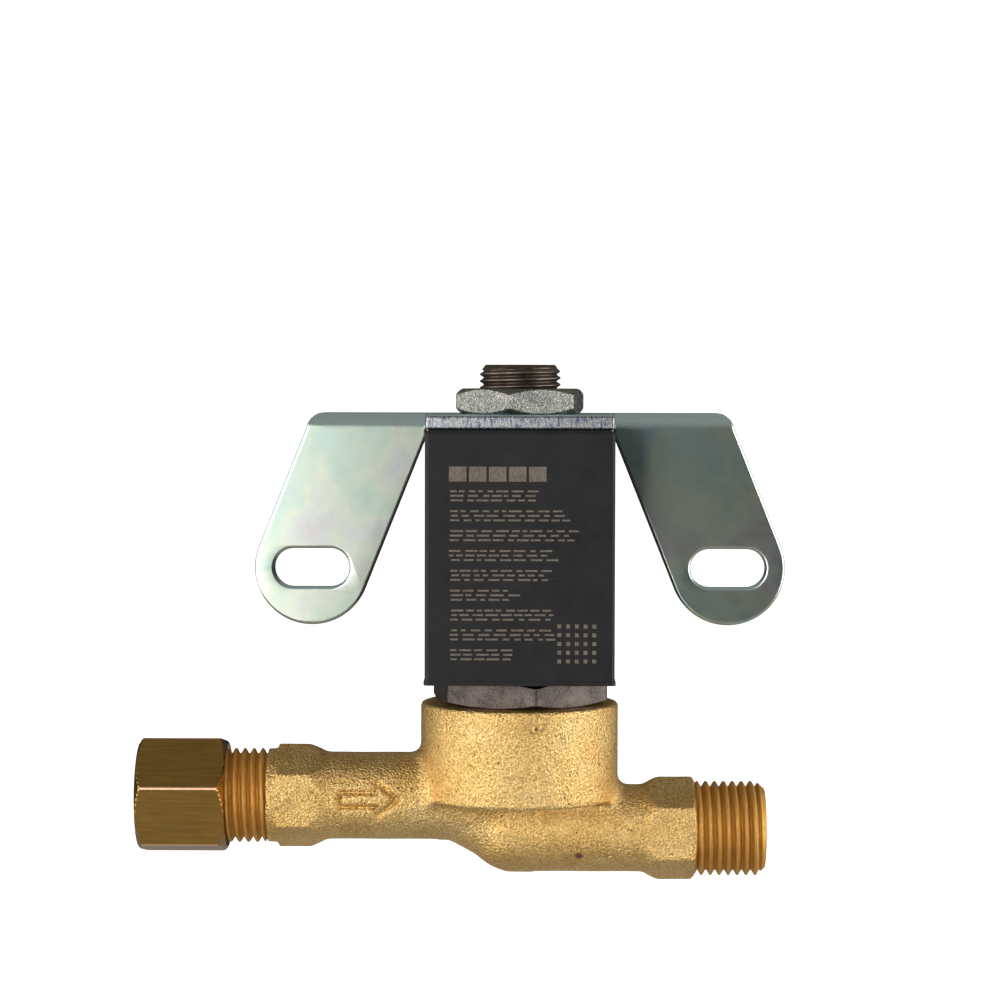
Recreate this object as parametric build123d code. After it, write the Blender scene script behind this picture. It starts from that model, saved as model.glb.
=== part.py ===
"""Two-way, normally closed solenoid valve with a brass body and a bolt-on bracket.

Frame: the origin is midway between the two bracket slots, on the front face of the
bracket legs.  +Z runs up the stem, +X points to the outlet, -Y is the side of the
coil's plain front.  The stem (armature tube) axis is X = 0, Y = STEM_Y.
"""
import os
from math import cos, pi, radians, sin

from build123d import *

os.makedirs("parts", exist_ok=True)

# ---------------------------------------------------------------- driving dimensions (mm)
STEM_Y = -6.0
CLEARANCE = 0.05

# levels along the stem
STUD_TOP = 24.4
NUT_TOP = 21.6
PLATE_TOP = 18.6
COIL_TOP = 16.85
COIL_BOTTOM = -12.3
BOSS_TOP = -15.4

# compression thread 7/16-24 on both ports
THREAD_CREST_R = 5.556
THREAD_PITCH = 25.4 / 24
THREAD_DEPTH = 0.60
TUBE_R = 3.2
SOCKET_R = 3.3
SOCKET_DEPTH = 5.0

# brass body
INLET_Z = -26.65
OUTLET_Z = -30.43
PIPE_R = 5.15
PASSAGE_R = 2.0
BOSS_R = 11.65
BOSS_FLOOR_Z = -26.8
WRENCH_AF = 10.7
WRENCH_INNER_SLOPE = 1.6
INLET_WRENCH = (-28.4, -24.6)
OUTLET_WRENCH = (16.2, 20.3)
INLET_END_X = -39.4
INLET_SHOULDER_X = -29.7
OUTLET_END_X = 29.0
OUTLET_SHOULDER_X = 20.6
RAMP_START_X = -8.5
RAMP_END_X = -1.5

# bore of the boss, and the seat inside it
BASE_THREAD_R = 8.0
BASE_SPIGOT_LENGTH = 5.1
RING_LEDGE_Z = -22.0
CHAMBER_R = 6.4
CHAMBER_FLOOR_Z = -23.6
SEAT_Z = -22.0
SEAT_R = 2.2
ORIFICE_R = 1.25
INLET_DRILLING_X = -4.6
INLET_DRILLING_R = 1.5

# compression nut and sleeve
NUT_LEFT_X = -45.0
NUT_RIGHT_X = -34.5
NUT_AF = 12.7
NUT_TURN = -13.6
NUT_WALL = 2.2
SLEEVE_R = 4.0
SLEEVE_X = (-42.35, -39.3)

# armature tube assembly
HEX_AF = 19.0
HEX_TURN = 40.3
GUIDE_R = 4.9
GUIDE_BORE_R = 4.3
GUIDE_BOTTOM_Z = -20.2
GUIDE_TOP_Z = 12.8
COLLAR_TOP_Z = 14.2
STUD_R = 4.763
STUD_PITCH = 25.4 / 32
STUD_DEPTH = 0.42

# plunger
LIFT = 1.5
PLUNGER_R = 4.2
PLUNGER_BOTTOM_Z = -21.6
PLUNGER_TOP_Z = 1.9
LIFT_GAP = 0.05
SEAL_R = 2.9
SEAL_TOP_Z = -19.8
SPRING_WIRE_R = 0.25
SPRING_COIL_R = 1.75
SPRING_TURNS = 9
SPRING_POCKET_R = 2.3
SPRING_POCKET_DEPTH = 8.0

# coil
COIL_WIDTH = 22.0
COIL_FRONT = 12.5
COIL_BACK = 14.5
COIL_EDGE = 0.5
COIL_SKIN = 1.0
COIL_BORE_R = 5.0
LIP_HEIGHT = 0.45
LIP_INSET = 0.12
YOKE_SHEET = 1.5
YOKE_HALF_WIDTH = 7.5
YOKE_FRONT = 8.5
YOKE_BACK = 11.3
BOBBIN_R = 9.5
BOBBIN_TUBE_R = 5.9
BOBBIN_FLANGE = 1.0
WINDING_R = 9.1
TAPE_R = 9.3
CAVITY_R = 9.6
LEAD_R = 0.3
LEAD_X = 9.0
LEAD_Y = (4.6, 12.4)
PAD_HALF_WIDTH = 9.0
PAD_Z = (-7.5, 11.5)
PAD_RISE = 0.8

# tabs, 6.3 x 0.8 mm blades
BLADE_WIDTH = 6.3
BLADE_SHEET = 0.8
BLADE_REACH = 8.0
BLADE_X = 6.0
BLADE_Z = 6.0
EARTH_Z = -5.0

# bracket
SHEET = 1.75
BEND_R = 1.95
SLOT_X = 25.0
SLOT_LENGTH = 9.0
SLOT_R = 2.3
LEG_HALF_WIDTH = 6.9
LEG_SPLAY = 21.8
TAB_HALF_WIDTH = 10.85
TAB_FRONT = 11.0
PLATE_BACK = 13.0
LEG_INNER_X = 11.2

# coil nut
COIL_NUT_AF = 14.0
COIL_NUT_TURN = 20.7

STEM = Pos(0, STEM_Y, 0)


def tower(radius, low, high):
    """Upright cylinder on the stem axis between two levels."""
    return STEM * Pos(0, 0, (low + high) / 2) * Cylinder(radius, high - low)


def rod_x(radius, low, high, z):
    """Cylinder along X in the plane of the ports."""
    place = Pos((low + high) / 2, STEM_Y, z) * Rot(0, 90, 0)
    return place * Cylinder(radius, high - low)


def block(x, y, z):
    """Box from three (low, high) pairs, with y counted from the stem axis."""
    centre = Pos(sum(x) / 2, STEM_Y + sum(y) / 2, sum(z) / 2)
    return centre * Box(x[1] - x[0], y[1] - y[0], z[1] - z[0])


def turned_x(points, z):
    """Solid of revolution about a port axis; points are (x, radius)."""
    outline = Polyline(*[(x, STEM_Y, z + r) for x, r in points], close=True)
    return revolve(make_face(outline), Axis((0, STEM_Y, z), (1, 0, 0)), 360)


def turned_z(points):
    """Solid of revolution about the stem; points are (radius, z)."""
    outline = Polyline(*[(r, STEM_Y, z) for r, z in points], close=True)
    return revolve(make_face(outline), Axis((0, STEM_Y, 0), (0, 0, 1)), 360)


def thread_profile(start, end, crest, pitch, depth):
    """Points of a row of V ridges with narrow flat crests, from start towards end."""
    step = pitch if end > start else -pitch
    count = int(abs(end - start) / pitch)
    points = [(start, crest - depth)]
    for ridge in range(count):
        base = start + ridge * step
        points.append((base + 0.06 * step, crest - depth))
        points.append((base + 0.44 * step, crest))
        points.append((base + 0.56 * step, crest))
        points.append((base + 0.94 * step, crest - depth))
    points.append((end, crest - depth))
    return points


def hex_prism(across_flats, height):
    """Hexagonal prism about Z, standing on Z = 0."""
    return extrude(RegularPolygon(across_flats / 2, 6, major_radius=False), height)


def chamfered_hex(across_flats, height, rise):
    """Hexagonal prism whose corners are turned off at both ends."""
    corner_r = across_flats / 2 / cos(pi / 6)
    face_r = across_flats / 2 - 0.25
    edge = rise * (corner_r - face_r) / (corner_r - across_flats / 2 + 0.25)
    low = [(face_r, 0), (corner_r + 0.1, edge)]
    high = [(corner_r + 0.1, height - edge), (face_r, height)]
    outline = Polyline(*[(r, 0, z) for r, z in [(0, 0)] + low + high + [(0, height)]], close=True)
    return hex_prism(across_flats, height) & revolve(make_face(outline), Axis.Z, 360)


# ---------------------------------------------------------------- brass body
def wrench_section(low, high, z, pipe_side):
    """Hexagon with a flat to the front, sloping down to the pipe on one side."""
    start = low - WRENCH_INNER_SLOPE if pipe_side < 0 else low
    end = high + WRENCH_INNER_SLOPE if pipe_side > 0 else high
    corner_r = WRENCH_AF / 2 / cos(pi / 6)
    prism = Pos(start, STEM_Y, z) * Rot(0, 90, 0) * hex_prism(WRENCH_AF, end - start)
    outer_r = WRENCH_AF / 2 + 0.15
    if pipe_side > 0:
        outline = [(start, 0), (start, outer_r), (start + 0.4, corner_r + 0.05)]
        outline += [(high, corner_r + 0.05), (end, PIPE_R - 0.1), (end, 0)]
    else:
        outline = [(start, 0), (start, PIPE_R - 0.1), (low, corner_r + 0.05)]
        outline += [(end - 0.4, corner_r + 0.05), (end, outer_r), (end, 0)]
    return prism & turned_x(outline, z)


def port_thread(start, end, z):
    """Shoulder-to-end threaded port with a chamfered first ridge."""
    step = 1 if end > start else -1
    root = THREAD_CREST_R - THREAD_DEPTH
    points = [(start - step, 0), (start - step, root)]
    points += thread_profile(start, end - 0.3 * step, THREAD_CREST_R, THREAD_PITCH, THREAD_DEPTH)
    points += [(end, root - 0.35), (end, 0)]
    return turned_x(points, z)


def make_body():
    left_pipe = rod_x(PIPE_R, INLET_WRENCH[1], 0, INLET_Z)
    right_pipe = rod_x(PIPE_R, RAMP_END_X, OUTLET_WRENCH[0], OUTLET_Z)
    disc = Rot(0, 90, 0) * Circle(PIPE_R)
    ramp = extrude(
        Pos(RAMP_START_X, STEM_Y, INLET_Z) * disc,
        amount=Vector(RAMP_END_X - RAMP_START_X, 0, OUTLET_Z - INLET_Z).length,
        dir=(RAMP_END_X - RAMP_START_X, 0, OUTLET_Z - INLET_Z),
    )
    boss = turned_z([
        (0, BOSS_TOP), (BOSS_R - 0.5, BOSS_TOP), (BOSS_R, BOSS_TOP - 0.5),
        (BOSS_R, BOSS_FLOOR_Z + 1.2), (BOSS_R - 0.35, BOSS_FLOOR_Z + 0.35),
        (BOSS_R - 1.2, BOSS_FLOOR_Z), (0, BOSS_FLOOR_Z - 1.2),
    ])
    body = boss + left_pipe + right_pipe + ramp
    body += wrench_section(*INLET_WRENCH, INLET_Z, 1)
    body += wrench_section(*OUTLET_WRENCH, OUTLET_Z, -1)
    body += rod_x(THREAD_CREST_R - 0.04, INLET_SHOULDER_X, INLET_WRENCH[0], INLET_Z)
    body += rod_x(THREAD_CREST_R - 0.25, OUTLET_WRENCH[1], OUTLET_SHOULDER_X, OUTLET_Z)
    body += port_thread(INLET_SHOULDER_X, INLET_END_X, INLET_Z)
    body += port_thread(OUTLET_SHOULDER_X, OUTLET_END_X, OUTLET_Z)
    # water way
    body -= rod_x(PASSAGE_R, INLET_END_X - 1, INLET_DRILLING_X + INLET_DRILLING_R, INLET_Z)
    body -= rod_x(PASSAGE_R, RAMP_END_X, OUTLET_END_X + 1, OUTLET_Z)
    for end, inward, z in ((INLET_END_X, 1, INLET_Z), (OUTLET_END_X, -1, OUTLET_Z)):
        mouth = [
            (end - 0.5 * inward, 0), (end - 0.5 * inward, 4.5), (end, 4.35),
            (end + 1.7 * inward, SOCKET_R), (end + SOCKET_DEPTH * inward, SOCKET_R),
            (end + SOCKET_DEPTH * inward, 0),
        ]
        body -= turned_x(mouth, z)
    # boss bore, ring ledge, chamber and seat
    body -= tower(BASE_THREAD_R + 0.02, RING_LEDGE_Z, BOSS_TOP + 1)
    body -= tower(CHAMBER_R, CHAMBER_FLOOR_Z, RING_LEDGE_Z + 0.1)
    body += tower(SEAT_R, CHAMBER_FLOOR_Z - 0.5, SEAT_Z)
    body -= tower(ORIFICE_R, OUTLET_Z, SEAT_Z + 1)
    drilling = tower(INLET_DRILLING_R, INLET_Z, CHAMBER_FLOOR_Z + 0.1)
    body -= Pos(INLET_DRILLING_X, 0, 0) * drilling
    return body


def make_compression_nut():
    length = NUT_RIGHT_X - NUT_LEFT_X
    nut = Rot(0, 90, 0) * Rot(0, 0, 90 + NUT_TURN) * chamfered_hex(NUT_AF, length, 0.7)
    nut = Pos(NUT_LEFT_X, STEM_Y, INLET_Z) * nut
    wall = NUT_LEFT_X + NUT_WALL
    bore = [
        (NUT_LEFT_X - 1, 0), (NUT_LEFT_X - 1, TUBE_R), (wall, TUBE_R), (wall + 1.0, 4.25),
        (wall + 1.4, THREAD_CREST_R + CLEARANCE), (NUT_RIGHT_X - 0.4, THREAD_CREST_R + CLEARANCE),
        (NUT_RIGHT_X + 0.1, THREAD_CREST_R + 0.5), (NUT_RIGHT_X + 0.1, 0),
    ]
    return nut - turned_x(bore, INLET_Z)


def make_sleeve():
    low, high = SLEEVE_X
    outline = [
        (low, SOCKET_R - 0.05), (low, SOCKET_R + 0.15), (low + 0.7, SLEEVE_R),
        (high - 1.2, SLEEVE_R), (high, SOCKET_R + 0.2), (high, SOCKET_R - 0.05),
    ]
    return turned_x(outline, INLET_Z)


# ---------------------------------------------------------------- armature tube assembly
def make_tube_base():
    hexagon = STEM * Pos(0, 0, BOSS_TOP) * Rot(0, 0, HEX_TURN) * chamfered_hex(
        HEX_AF, COIL_BOTTOM - BOSS_TOP, 0.55)
    spigot = tower(BASE_THREAD_R, BOSS_TOP - BASE_SPIGOT_LENGTH, BOSS_TOP)
    return hexagon + spigot - tower(GUIDE_R, BOSS_TOP - 10, COIL_BOTTOM + 1)


def make_guide_tube():
    return tower(GUIDE_R, GUIDE_BOTTOM_Z, GUIDE_TOP_Z) - tower(
        GUIDE_BORE_R, GUIDE_BOTTOM_Z - 1, GUIDE_TOP_Z + 1)


CORE_FACE_Z = PLUNGER_TOP_Z + LIFT + LIFT_GAP
SHADING_R = (2.75, 3.45)
SHADING_DEPTH = 0.9


def make_fixed_core():
    root = STUD_R - STUD_DEPTH
    ridges = thread_profile(COLLAR_TOP_Z, STUD_TOP - 0.4, STUD_R, STUD_PITCH, STUD_DEPTH)
    outline = [(0, CORE_FACE_Z), (GUIDE_BORE_R, CORE_FACE_Z), (GUIDE_BORE_R, GUIDE_TOP_Z)]
    outline += [(GUIDE_R, GUIDE_TOP_Z), (GUIDE_R, COLLAR_TOP_Z)]
    outline += [(radius, z) for z, radius in ridges]
    outline += [(root - 0.35, STUD_TOP), (1.5, STUD_TOP), (1.1, STUD_TOP - 0.5)]
    outline += [(0, STUD_TOP - 0.5)]
    core = turned_z(outline)
    groove = tower(SHADING_R[1], CORE_FACE_Z - 1, CORE_FACE_Z + SHADING_DEPTH)
    groove -= tower(SHADING_R[0], CORE_FACE_Z - 2, CORE_FACE_Z + SHADING_DEPTH + 1)
    return core - groove


def make_shading_ring():
    ring = tower(SHADING_R[1], CORE_FACE_Z, CORE_FACE_Z + SHADING_DEPTH)
    return ring - tower(SHADING_R[0], CORE_FACE_Z - 1, CORE_FACE_Z + SHADING_DEPTH + 1)


def make_plunger():
    outline = [
        (0, PLUNGER_BOTTOM_Z), (PLUNGER_R - 0.4, PLUNGER_BOTTOM_Z),
        (PLUNGER_R, PLUNGER_BOTTOM_Z + 0.4), (PLUNGER_R, PLUNGER_TOP_Z - 0.3),
        (PLUNGER_R - 0.3, PLUNGER_TOP_Z), (0, PLUNGER_TOP_Z),
    ]
    plunger = turned_z(outline)
    plunger -= tower(SPRING_POCKET_R, PLUNGER_TOP_Z - SPRING_POCKET_DEPTH, PLUNGER_TOP_Z + 1)
    plunger -= tower(SEAL_R, PLUNGER_BOTTOM_Z - 1, SEAL_TOP_Z)
    # flow flats along both sides
    for side in (-1, 1):
        x = (side * 3.9, side * 6.0)
        flat = block((min(x), max(x)), (-6, 6), (PLUNGER_BOTTOM_Z - 1, PLUNGER_TOP_Z + 1))
        plunger -= flat
    return plunger


def make_plunger_seal():
    return tower(SEAL_R, SEAT_Z, SEAL_TOP_Z)


def make_plunger_spring():
    low = PLUNGER_TOP_Z - SPRING_POCKET_DEPTH + SPRING_WIRE_R + CLEARANCE
    high = CORE_FACE_Z - SPRING_WIRE_R - CLEARANCE
    path = Helix((high - low) / SPRING_TURNS, high - low, SPRING_COIL_R)
    start = Plane(origin=path @ 0, z_dir=path % 0)
    wire = sweep(start * Circle(SPRING_WIRE_R), path=path, is_frenet=True)
    return Pos(0, STEM_Y, low) * wire


def make_body_ring():
    section_r = (RING_LEDGE_Z - BOSS_TOP + BASE_SPIGOT_LENGTH) / -2
    centre_r = BASE_THREAD_R - section_r
    return STEM * Pos(0, 0, RING_LEDGE_Z + section_r) * Torus(centre_r, section_r)


# ---------------------------------------------------------------- coil
YOKE_LOW_Z = COIL_BOTTOM + COIL_SKIN
YOKE_HIGH_Z = COIL_TOP - COIL_SKIN
BOBBIN_LOW_Z = YOKE_LOW_Z + YOKE_SHEET
BOBBIN_HIGH_Z = YOKE_HIGH_Z - YOKE_SHEET
WINDING_LOW_Z = BOBBIN_LOW_Z + BOBBIN_FLANGE
WINDING_HIGH_Z = BOBBIN_HIGH_Z - BOBBIN_FLANGE
EARTH_LEG_Y = (YOKE_BACK, COIL_BACK + BLADE_REACH)


def blade(x, z):
    """Blade tab standing out of the coil's back, with its locating hole and nose."""
    tab = block(
        (x - BLADE_SHEET / 2, x + BLADE_SHEET / 2), (LEAD_Y[1], COIL_BACK + BLADE_REACH),
        (z - BLADE_WIDTH / 2, z + BLADE_WIDTH / 2))
    tab = chamfer(tab.edges().filter_by(Axis.X).group_by(Axis.Y)[-1], 0.8)
    hole = Pos(x, STEM_Y + COIL_BACK + 4.9, z) * Rot(0, 90, 0) * Cylinder(0.8, 3)
    return tab - hole


def make_terminal(side):
    """Blade with a foot that reaches out to the end of the winding lead."""
    x = side * BLADE_X
    foot_x = sorted((side * (BLADE_X + BLADE_SHEET / 2), side * (LEAD_X + 0.5)))
    foot = block(foot_x, (LEAD_Y[1], LEAD_Y[1] + BLADE_SHEET), (BLADE_Z - 1.5, BLADE_Z + 1.5))
    return blade(x, BLADE_Z) + foot


def make_earth_terminal():
    half = BLADE_WIDTH / 2
    tab = block((-half, half), EARTH_LEG_Y, (EARTH_Z, EARTH_Z + BLADE_SHEET))
    tab = chamfer(tab.edges().filter_by(Axis.Z).group_by(Axis.Y)[-1], 0.8)
    hole = Pos(0, STEM_Y + COIL_BACK + 4.9, EARTH_Z) * Cylinder(0.8, 3)
    return tab - hole


def make_yoke():
    half = YOKE_HALF_WIDTH
    low = block((-half, half), (-YOKE_FRONT, YOKE_BACK), (YOKE_LOW_Z, BOBBIN_LOW_Z))
    high = block((-half, half), (-YOKE_FRONT, YOKE_BACK), (BOBBIN_HIGH_Z, YOKE_HIGH_Z))
    back = block((-half, half), (YOKE_BACK - YOKE_SHEET, YOKE_BACK), (YOKE_LOW_Z, YOKE_HIGH_Z))
    return low + high + back - tower(COIL_BORE_R, COIL_BOTTOM, COIL_TOP)


def make_bobbin():
    bobbin = tower(BOBBIN_TUBE_R, BOBBIN_LOW_Z, BOBBIN_HIGH_Z)
    bobbin += tower(BOBBIN_R, BOBBIN_LOW_Z, WINDING_LOW_Z)
    bobbin += tower(BOBBIN_R, WINDING_HIGH_Z, BOBBIN_HIGH_Z)
    return bobbin - tower(COIL_BORE_R, COIL_BOTTOM, COIL_TOP)


def make_winding():
    winding = tower(WINDING_R, WINDING_LOW_Z, WINDING_HIGH_Z)
    return winding - tower(BOBBIN_TUBE_R, COIL_BOTTOM, COIL_TOP)


def make_tape():
    tape = tower(TAPE_R, WINDING_LOW_Z, WINDING_HIGH_Z)
    return tape - tower(WINDING_R, COIL_BOTTOM, COIL_TOP)


def lead(side):
    centre = Pos(side * LEAD_X, STEM_Y + sum(LEAD_Y) / 2, BLADE_Z) * Rot(90, 0, 0)
    return centre * Cylinder(LEAD_R, LEAD_Y[1] - LEAD_Y[0])


def make_housing():
    half = COIL_WIDTH / 2
    main = block(
        (-half + LIP_INSET, half - LIP_INSET), (-COIL_FRONT + LIP_INSET, COIL_BACK - LIP_INSET),
        (COIL_BOTTOM + LIP_HEIGHT, COIL_TOP))
    main = fillet(main.edges().filter_by(Axis.Z) + main.edges().group_by(Axis.Z)[-1], COIL_EDGE)
    lip = block((-half, half), (-COIL_FRONT, COIL_BACK), (COIL_BOTTOM, COIL_BOTTOM + LIP_HEIGHT))
    lip = fillet(lip.edges().filter_by(Axis.Z), COIL_EDGE + LIP_INSET)
    # raised pad round the roots of the three blades
    pad = block((-PAD_HALF_WIDTH, PAD_HALF_WIDTH), (COIL_BACK - 1, COIL_BACK + PAD_RISE), PAD_Z)
    pad = fillet(pad.edges().filter_by(Axis.Y), 1.0)
    pad = chamfer(pad.edges().group_by(Axis.Y)[-1], 0.3)
    shell = main + lip + pad - tower(COIL_BORE_R, COIL_BOTTOM - 1, COIL_TOP + 1)
    # room for the parts that the plastic is moulded around
    shell -= tower(CAVITY_R, BOBBIN_LOW_Z, BOBBIN_HIGH_Z)
    shell -= make_yoke()
    shell -= make_earth_terminal()
    yoke_half = YOKE_HALF_WIDTH
    shell -= block((-yoke_half, yoke_half), (0, YOKE_BACK), (BOBBIN_LOW_Z, BOBBIN_HIGH_Z))
    for side in (-1, 1):
        shell -= make_terminal(side)
        shell -= lead(side)
    return shell


# ---------------------------------------------------------------- bracket and coil nut
def leg_outline():
    """Both legs seen from the front: splayed strips with full-round ends."""
    shapes = []
    for side in (-1, 1):
        lean = radians(side * LEG_SPLAY)
        across = Vector(cos(lean), 0, sin(lean)) * LEG_HALF_WIDTH
        up = Vector(-sin(lean), 0, cos(lean)) * 26
        foot = Vector(side * SLOT_X, 0, 0)
        strip = Polyline(foot - across, foot + across, foot + across + up, foot - across + up,
                         close=True)
        shapes.append(make_face(strip))
        shapes.append(Pos(side * SLOT_X, 0, 0) * Rot(90, 0, 0) * Circle(LEG_HALF_WIDTH))
    return shapes


def make_bracket():
    reach = SLOT_X + 12
    centre_y = BEND_R
    bend_z = PLATE_TOP - BEND_R
    # side view of the sheet: leg, bend and top plate as one band
    wide = (-reach, reach)
    bend = Rot(0, 90, 0) * (Cylinder(BEND_R, 2 * reach) - Cylinder(BEND_R - SHEET, 2 * reach))
    corner = block(wide, (-STEM_Y - 1, centre_y - STEM_Y), (bend_z, PLATE_TOP + 1))
    band = Pos(0, centre_y, bend_z) * bend & corner
    band += block(wide, (-STEM_Y, SHEET - STEM_Y), (-20, bend_z))
    band += block(wide, (centre_y - STEM_Y, PLATE_BACK), (PLATE_TOP - SHEET, PLATE_TOP))
    # seen from the front, the legs; the plate above them spans the whole width between them
    front = Part() + [
        extrude(shape, amount=40, dir=(0, 1, 0), both=True) for shape in leg_outline()
    ]
    below = block((-LEG_INNER_X, LEG_INNER_X), (-30, 40), (-30, PLATE_TOP - SHEET - 0.02))
    legs = band & (front - below)
    crossbar = block((-LEG_INNER_X - 1, LEG_INNER_X + 1), (BEND_R - STEM_Y, PLATE_BACK),
                     (PLATE_TOP - SHEET, PLATE_TOP))
    tab = block((-TAB_HALF_WIDTH, TAB_HALF_WIDTH), (-TAB_FRONT, PLATE_BACK),
                (PLATE_TOP - SHEET, PLATE_TOP))
    bracket = legs + crossbar + tab
    for side in (-1, 1):
        slot = Pos(side * SLOT_X, 0, 0) * Rot(90, 0, 0) * SlotOverall(SLOT_LENGTH, 2 * SLOT_R)
        bracket -= extrude(slot, amount=10, both=True)
    return bracket - tower(COIL_BORE_R, COIL_TOP - 1, PLATE_TOP + 1)


def make_coil_nut():
    nut = STEM * Pos(0, 0, PLATE_TOP) * Rot(0, 0, COIL_NUT_TURN) * chamfered_hex(
        COIL_NUT_AF, NUT_TOP - PLATE_TOP, 0.7)
    bore_r = STUD_R + CLEARANCE
    bore = turned_z([
        (0, PLATE_TOP - 0.1), (bore_r + 0.4, PLATE_TOP - 0.1), (bore_r, PLATE_TOP + 0.3),
        (bore_r, NUT_TOP - 0.3), (bore_r + 0.4, NUT_TOP + 0.1), (0, NUT_TOP + 0.1),
    ])
    return nut - bore


NODES = {
    "valve_body": make_body(),
    "compression_nut": make_compression_nut(),
    "compression_sleeve": make_sleeve(),
    "tube_base_hex": make_tube_base(),
    "guide_tube": make_guide_tube(),
    "fixed_core": make_fixed_core(),
    "shading_ring": make_shading_ring(),
    "plunger": make_plunger(),
    "plunger_seal": make_plunger_seal(),
    "plunger_spring": make_plunger_spring(),
    "body_o_ring": make_body_ring(),
    "coil_housing": make_housing(),
    "coil_bobbin": make_bobbin(),
    "copper_winding": make_winding(),
    "winding_tape": make_tape(),
    "winding_leads": Compound([lead(-1), lead(1)]),
    "coil_yoke": make_yoke(),
    "terminal_left": make_terminal(-1),
    "terminal_right": make_terminal(1),
    "earth_terminal": make_earth_terminal(),
    "mounting_bracket": make_bracket(),
    "coil_nut": make_coil_nut(),
}

for name, shape in NODES.items():
    export_step(shape, f"parts/{name}.step")
    print(name, round(shape.volume, 1))
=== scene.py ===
"""Solenoid valve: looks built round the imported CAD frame.

Lengths inside the modelling functions are millimetres; make_mesh turns them into metres.
"""
import math

import bmesh
import bpy
import numpy as np
from mathutils import Euler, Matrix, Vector


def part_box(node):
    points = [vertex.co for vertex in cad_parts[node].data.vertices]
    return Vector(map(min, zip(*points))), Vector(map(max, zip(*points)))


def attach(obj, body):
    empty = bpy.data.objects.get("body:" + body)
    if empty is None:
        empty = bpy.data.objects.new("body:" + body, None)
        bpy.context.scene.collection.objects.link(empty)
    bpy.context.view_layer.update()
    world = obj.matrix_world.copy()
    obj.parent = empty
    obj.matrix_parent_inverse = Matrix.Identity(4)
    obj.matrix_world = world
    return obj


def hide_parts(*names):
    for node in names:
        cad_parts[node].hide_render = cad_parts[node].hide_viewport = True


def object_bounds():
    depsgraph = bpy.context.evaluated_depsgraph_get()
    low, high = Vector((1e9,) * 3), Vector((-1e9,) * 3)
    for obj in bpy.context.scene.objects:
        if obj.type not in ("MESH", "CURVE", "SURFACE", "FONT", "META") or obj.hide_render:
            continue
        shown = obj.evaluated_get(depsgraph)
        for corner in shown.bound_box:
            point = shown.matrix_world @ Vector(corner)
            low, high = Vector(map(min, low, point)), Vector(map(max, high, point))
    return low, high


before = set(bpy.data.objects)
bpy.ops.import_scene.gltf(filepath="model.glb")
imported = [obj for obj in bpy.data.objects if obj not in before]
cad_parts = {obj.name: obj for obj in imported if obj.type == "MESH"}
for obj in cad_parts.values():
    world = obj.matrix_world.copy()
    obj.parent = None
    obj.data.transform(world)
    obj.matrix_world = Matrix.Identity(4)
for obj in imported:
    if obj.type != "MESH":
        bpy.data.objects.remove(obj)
cad_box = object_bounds()

MM = 0.001
TAU = 2 * math.pi


# ---------------------------------------------------------------- places taken from the frame
def box_mm(node):
    low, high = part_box(node)
    return [value / MM for value in low], [value / MM for value in high]


core_low, core_high = box_mm("fixed_core")
nut_low, nut_high = box_mm("coil_nut")
coil_low, coil_high = box_mm("coil_housing")
body_low, body_high = box_mm("valve_body")
port_nut_low, port_nut_high = box_mm("compression_nut")

STEM_Y = (core_low[1] + core_high[1]) / 2
STUD_TOP = core_high[2]
PLATE_TOP = nut_low[2]
NUT_TOP = nut_high[2]
COIL_TOP = coil_high[2]
COIL_BOTTOM = coil_low[2]
BOSS_TOP = body_high[2]
INLET_Z = (port_nut_low[2] + port_nut_high[2]) / 2
PORT_DROP = 3.78
OUTLET_Z = INLET_Z - PORT_DROP
INLET_END_X = body_low[0]
OUTLET_END_X = body_high[0]
BODY_FLOOR = body_low[2]

# ---------------------------------------------------------------- sizes, mm
BOSS_R = 11.65
BOSS_FLOOR = BOSS_TOP - 11.4
PIPE_R = 5.15
PASSAGE_R = 2.0
ORIFICE_R = 1.25
DRILLING_R = 1.5
DRILLING_X = -4.6
TUBE_THREAD_R = 8.02
CHAMBER_R = 6.4
SEAT_R = 2.2
SOCKET_R = 3.3
SOCKET_DEPTH = 5.0
WRENCH_FLAT = 5.35
WRENCH_CORNER = 6.18
INLET_WRENCH = (-28.45, -24.7)
OUTLET_WRENCH = (16.3, 20.4)
INLET_THREAD_START = -29.6
OUTLET_THREAD_START = 20.5
THREAD_R = 5.556
THREAD_PITCH = 25.4 / 24
THREAD_DEPTH = 0.62
STUD_R = 4.763
STUD_PITCH = 25.4 / 32
STUD_DEPTH = 0.43
PORT_NUT_FLAT = 12.7 / 2
PORT_NUT_WALL = 2.2
BASE_HEX_FLAT = 19.0 / 2
STEM_NUT_FLAT = 14.0 / 2
SHEET = 1.75
BEND_R = 1.95
SHEET_RIM = 0.40
LEG_SPLAY = 21.8
LEG_HALF = 6.9
SLOT_X = 25.0
SLOT_R = 2.3
SLOT_HALF = 2.2
STEM_HOLE_R = 5.0
TAB_HALF = 10.85
LEG_START_X = 11.2
ARROW_LIFT = 0.1
CASTING_FLAW = (2.0, -17.5, -17.2)
STAIN = (7.0, -10.4, -33.1)

# how far each hexagon stands turned about its own axis, degrees
PORT_NUT_TURN = 76.4
BASE_HEX_TURN = 70.3
STEM_NUT_TURN = 50.7


# ---------------------------------------------------------------- mesh helpers
def make_mesh(name, points, faces, sharp_deg=None):
    """Object from points in mm and faces, shaded smooth, with edges over an angle kept sharp."""
    mesh = bpy.data.meshes.new(name)
    mesh.from_pydata([tuple(p) for p in np.asarray(points) * MM], [], faces)
    mesh.validate()
    mesh.shade_smooth()
    if sharp_deg:
        mesh.set_sharp_from_angle(angle=math.radians(sharp_deg))
    piece = bpy.data.objects.new(name, mesh)
    bpy.context.scene.collection.objects.link(piece)
    return piece


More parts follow.
